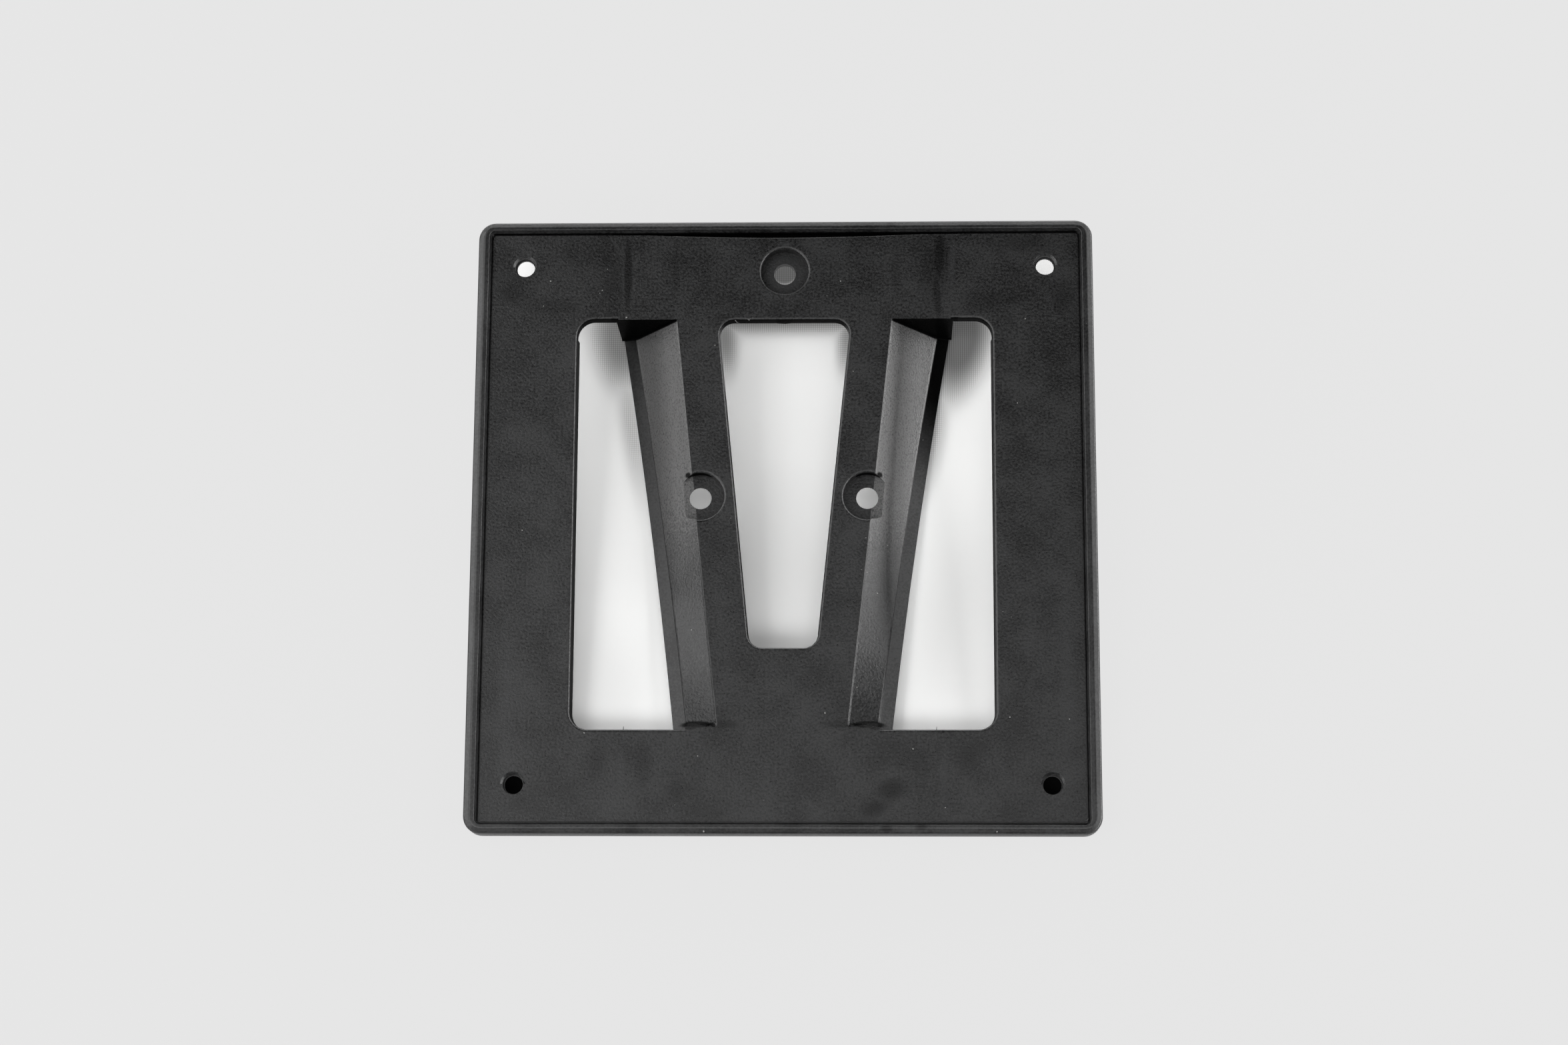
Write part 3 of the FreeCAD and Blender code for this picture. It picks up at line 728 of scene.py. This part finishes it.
@dataclass(frozen=True)
class MouldedPlastic:
    """Black moulded plastic: grained panel, rougher rubbed walls, smooth lips and rim, streaks and dust,
    with painted light and shade.

    Attributes:
        name: the material's name.
        dark: the colour of the darkest patches.
        light: the colour of the palest patches.
        grease_and_shade: the colour inside the glossy marks, and the black of the painted shade in the deep
            corners.
        haze_and_light: the colour of the pale marks, and of the painted light on the upper pad and along
            the sides.
        scuffed_and_lit: the colour of the legs' steep walls, greyed by their coarse grain and paler with
            painted light.
        dust: the colour of the specks.
        grain: the fine grain.
        cloud: the soft patches.
        speckle: the speckles of the rubbed walls.
        cloud_share: how much of the shade comes from the patches, with the rest from the grain.
        shade_span: the shades at which the plastic is darkest and palest.
        speckle_gain: how steeply the speckles rise out of the walls.
        speckle_loss: what is taken off them again, so that dark shows between them.
        lit_scuff_span: y over which the walls get their pale speckles and painted light, in millimetres.
        rim_span: z over which the smooth rim begins, in millimetres.
        smoothing: how much of the grain's height the smooth parts lack, from 0 to 1.
        roughness: the middle roughness.
        cloud_rough: how much the patches change the roughness.
        grain_rough: how much the grain changes it.
        haze_rough: how much rougher the pale marks are.
        polish_rough: how much less rough the glossy marks are.
        dust_rough: how much rougher the specks are.
        polish_dull: how much of a dark mark is covered by the matt black of greasy streaks and painted
            shade, from 0 to 1.
        index: the refractive index, which sets how strongly it shines.
        relief: the height of the grain, in metres.
        legs: where the walls and the lips lie.
        edge: where the seat ends, and the painted shade at the rim's foot.
        openings: where the walls of the openings lie, and the painted shade on them.
        corners: the painted shade in the deep corners.
        specks: the dust specks.
    """

    name: str = "black_plastic_finish"
    dark: Colour = (0.0020, 0.0020, 0.0021, 1.0)
    light: Colour = (0.0250, 0.0252, 0.0256, 1.0)
    grease_and_shade: Colour = (0.0010, 0.0010, 0.0010, 1.0)
    haze_and_light: Colour = (0.0300, 0.0305, 0.0315, 1.0)
    scuffed_and_lit: Colour = (0.1250, 0.1240, 0.1230, 1.0)
    dust: Colour = (0.34, 0.34, 0.33, 1.0)
    grain: Noise = Noise(0.72, 3.0, 0.62)
    cloud: Noise = Noise(15.0, 4.0, 0.6)
    speckle: Noise = Noise(0.60, 2.0, 0.6)
    cloud_share: float = 0.4
    shade_span: Pair = (0.40, 0.60)
    speckle_gain: float = 3.6
    speckle_loss: float = 0.85
    lit_scuff_span: Pair = (-22.0, 14.0)
    rim_span: Pair = (0.05, 0.45)
    smoothing: float = 0.9
    roughness: float = 0.33
    cloud_rough: float = 0.10
    grain_rough: float = 0.30
    haze_rough: float = 0.06
    polish_rough: float = 0.03
    dust_rough: float = 0.3
    polish_dull: float = 0.26
    index: float = 1.62
    relief: float = 0.00010
    legs: LegShape = LegShape()
    edge: RimShape = RimShape()
    openings: OpeningShape = OpeningShape()
    corners: CornerShade = CornerShade()
    specks: Dust = Dust()

    def build(self) -> bpy.types.Material:
        """Makes the material.

        Returns:
            The material.
        """
        tree = Tree(self.name)
        place = Place.on(tree)
        legs = self.legs.parts(place)
        smooth = legs.lip.highest(place.z.ramp(*self.rim_span))
        grain = self.grain.read(tree, place)
        cloud = self.cloud.read(tree, place)
        gloss_and_shade = strongest(tree, place, STREAK_AND_SHADE_MARKS)
        haze_and_light = strongest(tree, place, HAZE_AND_LIGHT_MARKS)
        specks = self.specks.mask(tree, place)
        shade = (cloud * self.cloud_share + grain * (1.0 - self.cloud_share)).ramp(*self.shade_span)
        speckle = self.speckle.read(tree, place) * self.speckle_gain - self.speckle_loss
        # Pale speckles on the legs' walls: their coarse grain, with painted light that grows towards the
        # steeper upper part
        lit_scuff = legs.wall * place.y.ramp(*self.lit_scuff_span) * speckle
        colour = tree.blend(shade, self.dark, self.light)
        colour = tree.blend(lit_scuff, colour, self.scuffed_and_lit)
        # Pale marks: hazy patches and scratches, with painted light on the upper pad and along the panel's
        # sides
        colour = tree.blend(haze_and_light, colour, self.haze_and_light)
        # Dark marks: glossy streaks and smudges, with painted shade along the upper band and round the
        # legs' lower ends
        colour = tree.blend(gloss_and_shade, colour, self.grease_and_shade)
        colour = tree.blend(specks, colour, self.dust)
        uneven = (cloud - NOISE_MIDDLE) * self.cloud_rough
        uneven = uneven + (grain - NOISE_MIDDLE) * self.grain_rough * (1.0 - smooth)
        roughness = uneven + haze_and_light * self.haze_rough - gloss_and_shade * self.polish_rough
        roughness = roughness + specks * self.dust_rough + self.roughness
        height = grain * (legs.wall + 1.0 - smooth * self.smoothing)
        bump = tree.add("ShaderNodeBump", {}, {"Strength": 1.0, "Distance": self.relief, "Height": height})
        shader = tree.add(
            "ShaderNodeBsdfPrincipled",
            {},
            {"Base Color": colour, "Roughness": roughness, "IOR": self.index, "Normal": bump.outputs[0]},
        )
        # Painted shade: a matt black finish mixed in at the deep corners, the rim's foot, the upper slot
        # and the openings' walls, and a little in the dark marks
        shade_and_grease_bsdf = tree.add("ShaderNodeBsdfDiffuse", {}, {"Color": self.grease_and_shade})
        # Painted shade on the openings' walls, kept off the legs
        walls = self.openings.walls(place) * (1.0 - legs.wall.highest(legs.lip))
        shade_and_grease_share = self.corners.mask(tree, place, legs).highest(gloss_and_shade * self.polish_dull)
        shade_and_grease_share = shade_and_grease_share.highest(self.edge.foot(place)).highest(walls)
        return tree.finish(shade_and_grease_share, shader, shade_and_grease_bsdf)


@dataclass(frozen=True)
class Holder:
    """The moulded holder, dressed as it left the mould and was used, with painted light and shade.

    Attributes:
        finish: its plastic.
    """

    finish: MouldedPlastic = MouldedPlastic()

    def build(self) -> None:
        """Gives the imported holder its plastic."""
        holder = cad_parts[HOLDER]
        plastic = self.finish.build()
        for slot in holder.material_slots:
            slot.material = plastic
        log.info("%s: %d faces", HOLDER, len(holder.data.polygons))


@dataclass(frozen=True)
class Burr:
    """A fine ridge of flash that the mould left along a line.

    Attributes:
        line: the points that it follows, in millimetres.
        width: its thickness, in millimetres.
        taper: the size of its far end, as a share of its thickness.
        sides: how many sides it has round its line.
    """

    line: tuple[Triple, ...]
    width: float = 0.25
    taper: float = 0.35
    sides: int = 6

    def add_to(self, mesh: bmesh.types.BMesh) -> None:
        """Draws the ridge.

        Args:
            mesh: the mesh that takes it.
        """
        points = [Vector(place) * MM for place in self.line]
        radius = self.width * MM / 2
        made = bmesh.ops.create_circle(mesh, cap_ends=True, segments=self.sides, radius=radius)
        verts = made["verts"]
        turn = (points[1] - points[0]).to_track_quat("Z", "Y").to_matrix()
        bmesh.ops.rotate(mesh, verts=verts, matrix=turn)
        bmesh.ops.translate(mesh, verts=verts, vec=points[0])
        ends = list({face for vert in verts for face in vert.link_faces})
        for before, after in zip(points, points[1:]):
            grown = bmesh.ops.extrude_face_region(mesh, geom=ends)["geom"]
            verts = [item for item in grown if isinstance(item, bmesh.types.BMVert)]
            ends = [item for item in grown if isinstance(item, bmesh.types.BMFace)]
            bmesh.ops.translate(mesh, verts=verts, vec=after - before)
        small = (self.taper, self.taper, self.taper)
        bmesh.ops.scale(mesh, verts=verts, vec=small, space=Matrix.Translation(-points[-1]))


@dataclass(frozen=True)
class Flash:
    """The flash in one place of the holder, as one piece.

    Attributes:
        name: the piece's name.
        burrs: its ridges.
    """

    name: str
    burrs: tuple[Burr, ...]

    def build(self, plastic: bpy.types.Material) -> None:
        """Makes the piece.

        Args:
            plastic: its material.
        """
        mesh = bmesh.new()
        for burr in self.burrs:
            burr.add_to(mesh)
        bmesh.ops.recalc_face_normals(mesh, faces=mesh.faces)
        data = bpy.data.meshes.new(self.name)
        mesh.to_mesh(data)
        mesh.free()
        piece = bpy.data.objects.new(self.name, data)
        bpy.context.scene.collection.objects.link(piece)
        data.materials.append(plastic)
        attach(piece, BODY)
        log.info("%s: %d faces", self.name, len(data.polygons))


# The holder's plastic, paler where it is thin and torn
FLASH_PLASTIC = MouldedPlastic(
    name="flash_finish",
    dark=(0.050, 0.050, 0.050, 1.0),
    light=(0.180, 0.180, 0.176, 1.0),
    haze_and_light=(0.200, 0.200, 0.200, 1.0),
    grain=Noise(0.3, 3.0, 0.62),
    roughness=0.5,
)
FLASH = (
    Flash(
        "flash_side_openings",
        (
            Burr(((-46.8, -63.4, -0.4), (-46.7, -61.9, -0.4)), 0.4),
            Burr(((45.2, -63.4, -0.4), (45.3, -61.9, -0.4)), 0.4),
        ),
    ),
    Flash(
        "flash_centre_opening",
        (
            Burr(((-14.9, 62.1, -0.2), (-14.4, 61.4, -0.2), (-13.6, 61.2, -0.3))),
            Burr(((-11.1, 62.4, -0.2), (-10.6, 62.0, -0.1), (-10.2, 62.7, 0.1))),
            Burr(((-2.3, 61.72, -2.2), (0.3, 61.58, -2.2), (2.7, 61.72, -2.2)), 0.3),
        ),
    ),
    Flash(
        "flash_rim_corner",
        (Burr(((88.3, -89.7, 0.05), (88.9, -89.4, 0.1), (89.3, -88.7, 0.1)), 0.3),),
    ),
    Flash(
        "flash_upper_slot",
        (Burr(RimShape().slot_line(half=34, step=2, inset=0.07, height=0.02), 0.10, 0.5),),
    ),
)


@dataclass(frozen=True)
class Ground:
    """The plain pale floor that the holder lies on, a fine white cloth seen as flat light grey.

    Attributes:
        front: y and z of the line on which the lower end rests, in millimetres.
        back: y and z of the line on which the upper end rests, in millimetres.
        width: the floor's side, in metres.
        tone: its colour.
        seen_tone: the flat colour that the camera sees around the holder.
        flat_share: how much of what the camera sees there is that flat colour.
        under_tone: the colour of the cloth that the camera sees through the openings, above white: painted
            light.
        under_x: half the width of the area under the holder, in millimetres.
        under_y: y of its lower and upper edge, in millimetres.
        under_fade: the width over which it fades out at its edges, in millimetres.
        weave: the width of one mesh of the cloth, in millimetres.
        thread_span: the distances from the middle of a mesh over which a thread begins, as shares of it.
        thread_lit: how much the threads show in the light, from 0 to 1.
        thread_shaded: how much more they show in the darkest shade.
        shades: soft dark patches under the holder, drawn on the cloth.
        shade_tone: the colour of these patches.
        thread_tone: the colour of the cloth's threads.
    """

    front: Pair = (-93.75, -4.6)
    back: Pair = (63.3, -23.2)
    width: float = 6.0
    tone: Colour = (0.79, 0.79, 0.79, 1.0)
    seen_tone: Colour = (0.791, 0.791, 0.791, 1.0)
    flat_share: float = 0.94
    under_tone: Colour = (1.52, 1.52, 1.51, 1.0)
    under_x: float = 92.5
    under_y: Pair = (-93.5, 100.0)
    under_fade: float = 10.0
    weave: float = 0.66
    thread_span: Pair = (0.26, 0.52)
    thread_lit: float = 0.1
    thread_shaded: float = 0.6
    shades: tuple[Mark, ...] = (
        # Beside the legs and under the upper band
        Mark((54.0, 62.0, -23.0), (28.0, 60.0, 60.0), turn=-14.0, strength=0.80, soft=0.75),
        Mark((-52.0, 63.0, -23.0), (28.0, 54.0, 60.0), turn=12.0, strength=0.68, soft=0.85),
        Mark((46.0, 34.0, -20.0), (12.0, 74.0, 60.0), turn=-9.0, strength=0.35, soft=0.95),
        Mark((-47.5, 34.0, -20.0), (12.0, 74.0, 60.0), turn=9.0, strength=0.35, soft=0.95),
        Mark((0.0, 71.0, -23.0), (170.0, 19.0, 60.0), strength=0.72, soft=0.8),
        Mark((-19.0, 62.0, -22.0), (13.0, 36.0, 60.0), turn=4.0, strength=0.6, soft=0.95),
        Mark((19.0, 62.0, -22.0), (11.0, 36.0, 60.0), turn=-4.0, strength=0.55, soft=0.95),
        # Behind the upper mounting hole
        Mark((-0.8, 85.5, -24.0), (12.0, 12.0, 40.0), strength=0.76, soft=0.4),
        # Faint, under the lower half
        Mark((50.0, -34.0, -10.0), (50.0, 120.0, 60.0), strength=0.18, soft=0.9),
        Mark((-50.0, -55.0, -10.0), (44.0, 70.0, 60.0), strength=0.12, soft=0.9),
        # Behind the two lower plate holes
        Mark((79.4, -78.2, -6.0), (15.0, 15.0, 40.0), soft=0.2),
        Mark((-80.0, -78.2, -6.0), (15.0, 15.0, 40.0), soft=0.2),
    )
    shade_tone: Colour = (0.008, 0.008, 0.008, 1.0)
    thread_tone: Colour = (0.45, 0.45, 0.44, 1.0)

    def build(self) -> None:
        """Makes the floor."""
        run = self.back[0] - self.front[0]
        drop = self.back[1] - self.front[1]
        mesh = bmesh.new()
        bmesh.ops.create_grid(mesh, x_segments=1, y_segments=1, size=self.width / 2)
        bmesh.ops.rotate(mesh, verts=mesh.verts, matrix=Matrix.Rotation(math.atan2(drop, run), 3, "X"))
        height = self.front[1] - self.front[0] * drop / run
        bmesh.ops.translate(mesh, verts=mesh.verts, vec=(0.0, 0.0, height * MM))
        data = bpy.data.meshes.new("floor")
        mesh.to_mesh(data)
        mesh.free()
        floor = bpy.data.objects.new("floor", data)
        bpy.context.scene.collection.objects.link(floor)
        data.materials.append(self.material())
        log.info("%s: %.1f m wide", floor.name, self.width)

    def material(self) -> bpy.types.Material:
        """Makes the floor's material.

        Returns:
            The material.
        """
        tree = Tree("pale_floor")
        place = Place.on(tree)
        ray = Value(tree, tree.add("ShaderNodeLightPath", {}, {}).outputs["Is Camera Ray"])
        lower, upper = self.under_y
        under = place.side.ramp(self.under_x, self.under_x - self.under_fade)
        under = under * place.y.ramp(lower, lower + self.under_fade)
        under = under * place.y.ramp(upper, upper - self.under_fade)
        shaded = strongest(tree, place, self.shades)
        mesh = tree.add(
            "ShaderNodeTexVoronoi",
            {"feature": "F1", "voronoi_dimensions": "2D"},
            {"Vector": place.point, "Scale": 1 / self.weave, "Randomness": 0.0},
        )
        thread = Value(tree, mesh.outputs["Distance"]).ramp(*self.thread_span)
        shown = thread * (shaded * self.thread_shaded + self.thread_lit)
        # Under the holder the camera sees the cloth brighter than white, painted light, with painted
        # shadows on it
        cloth = tree.blend(shown, self.under_tone, self.thread_tone)
        cloth = tree.blend(shaded, cloth, self.shade_tone)
        colour = tree.blend(ray * under, self.tone, cloth)
        lit = tree.add("ShaderNodeBsdfDiffuse", {}, {"Color": colour})
        flat = tree.add("ShaderNodeEmission", {}, {"Color": self.seen_tone, "Strength": 1.0})
        return tree.finish(ray * (1.0 - under) * self.flat_share, lit, flat)


class Bearing(Enum):
    """The side from which a softbox shines, as its angle from +X seen from above, in degrees."""

    RIGHT = 0.0
    BACK = 90.0
    LEFT = 180.0
    FRONT = 270.0


@dataclass(frozen=True)
class Softbox:
    """A rectangular softbox that faces the holder.

    Attributes:
        bearing: the side on which it stands.
        low: how high above the floor its lower edge is seen from the holder, in degrees.
        high: how high its upper edge is seen, in degrees.
        glow: its brightness, where 1 is white.
        spread: the angle that it fills from side to side, in degrees.
        reach: its distance from the holder, in metres.
    """

    bearing: Bearing
    low: float
    high: float
    glow: float
    spread: float = 90.0
    reach: float = 1.1

    def build(self) -> None:
        """Makes the lamp."""
        middle = math.radians((self.low + self.high) / 2)
        tall = 2 * self.reach * math.tan(math.radians(self.high - self.low) / 2)
        wide = 2 * self.reach * math.cos(middle) * math.tan(math.radians(self.spread) / 2)
        data = bpy.data.lights.new("softbox_%s_%d" % (self.bearing.name.lower(), self.low), "AREA")
        data.shape = "RECTANGLE"
        data.size = wide
        data.size_y = tall
        # The power that makes a flat lamp of this area as bright as its glow says
        data.energy = math.pi * wide * tall * self.glow
        lamp = bpy.data.objects.new(data.name, data)
        bpy.context.scene.collection.objects.link(lamp)
        turn = Matrix.Rotation(math.radians(self.bearing.value), 4, "Z") @ Matrix.Rotation(-middle, 4, "Y")
        # A lamp shines along its own -Z, and this turns it to look along -X
        face = Matrix.Rotation(math.radians(90), 4, "Z") @ Matrix.Rotation(math.radians(90), 4, "X")
        lamp.matrix_world = turn @ Matrix.Translation((self.reach, 0.0, 0.0)) @ face
        lamp.visible_camera = False
        log.info("%s: %.1f W", data.name, data.energy)


@dataclass(frozen=True)
class Studio:
    """Low softboxes on three sides, higher ones all round but the back, and a dim room.

    Attributes:
        boxes: the softboxes.
        room: the brightness all round.
    """

    boxes: tuple[Softbox, ...] = (
        Softbox(Bearing.RIGHT, 0.0, 10.0, 10.5),
        Softbox(Bearing.BACK, 0.0, 10.0, 7.6),
        Softbox(Bearing.FRONT, 0.0, 10.0, 1.9),
        Softbox(Bearing.LEFT, 10.0, 25.0, 3.8),
        Softbox(Bearing.RIGHT, 10.0, 25.0, 0.65),
        Softbox(Bearing.RIGHT, 25.0, 45.0, 1.8),
        Softbox(Bearing.LEFT, 25.0, 45.0, 0.95),
        Softbox(Bearing.LEFT, 45.0, 65.0, 2.0),
        Softbox(Bearing.FRONT, 45.0, 65.0, 2.0),
        Softbox(Bearing.RIGHT, 66.0, 88.0, 1.25, 70.0, 1.3),
        Softbox(Bearing.LEFT, 66.0, 88.0, 1.25, 70.0, 1.3),
    )
    room: float = 0.02

    def build(self) -> None:
        """Makes the lights."""
        for box in self.boxes:
            box.build()
        world = bpy.data.worlds.new("room")
        world.use_nodes = True
        background = world.node_tree.nodes["Background"]
        background.inputs["Color"].default_value = WHITE
        background.inputs["Strength"].default_value = self.room
        bpy.context.scene.world = world


@dataclass(frozen=True)
class View:
    """The photograph's viewing angle.

    Attributes:
        place: where the camera stands, in millimetres.
        tilt: its turn about X, in degrees.
        pan: its turn about Y, in degrees.
        roll: its turn about Z, in degrees.
        lens: its focal length, in millimetres.
        sensor: the width of its sensor, in millimetres.
    """

    place: Triple = (26.816, -184.207, 844.037)
    tilt: float = 12.265
    pan: float = 1.765
    roll: float = -0.108
    lens: float = 66.585
    sensor: float = 36.0

    def build(self) -> None:
        """Makes the camera."""
        data = bpy.data.cameras.new("camera")
        data.sensor_width = self.sensor
        data.lens = self.lens
        camera = bpy.data.objects.new("camera", data)
        bpy.context.scene.collection.objects.link(camera)
        turn = (
            Matrix.Rotation(math.radians(self.tilt), 4, "X")
            @ Matrix.Rotation(math.radians(self.pan), 4, "Y")
            @ Matrix.Rotation(math.radians(self.roll), 4, "Z")
        )
        camera.matrix_world = Matrix.Translation(Vector(self.place) * MM) @ turn
        bpy.context.scene.camera = camera
        log.info("%s: %.1f mm lens", camera.name, self.lens)


def main() -> None:
    """Builds the holder's finish, the flash, the floor, the light and the camera."""
    logging.basicConfig(level=logging.INFO)
    bpy.context.scene.view_settings.view_transform = "Standard"
    Holder().build()
    torn = FLASH_PLASTIC.build()
    for flash in FLASH:
        flash.build(torn)
    Ground().build()
    Studio().build()
    View().build()


if __name__ == "__main__":
    main()
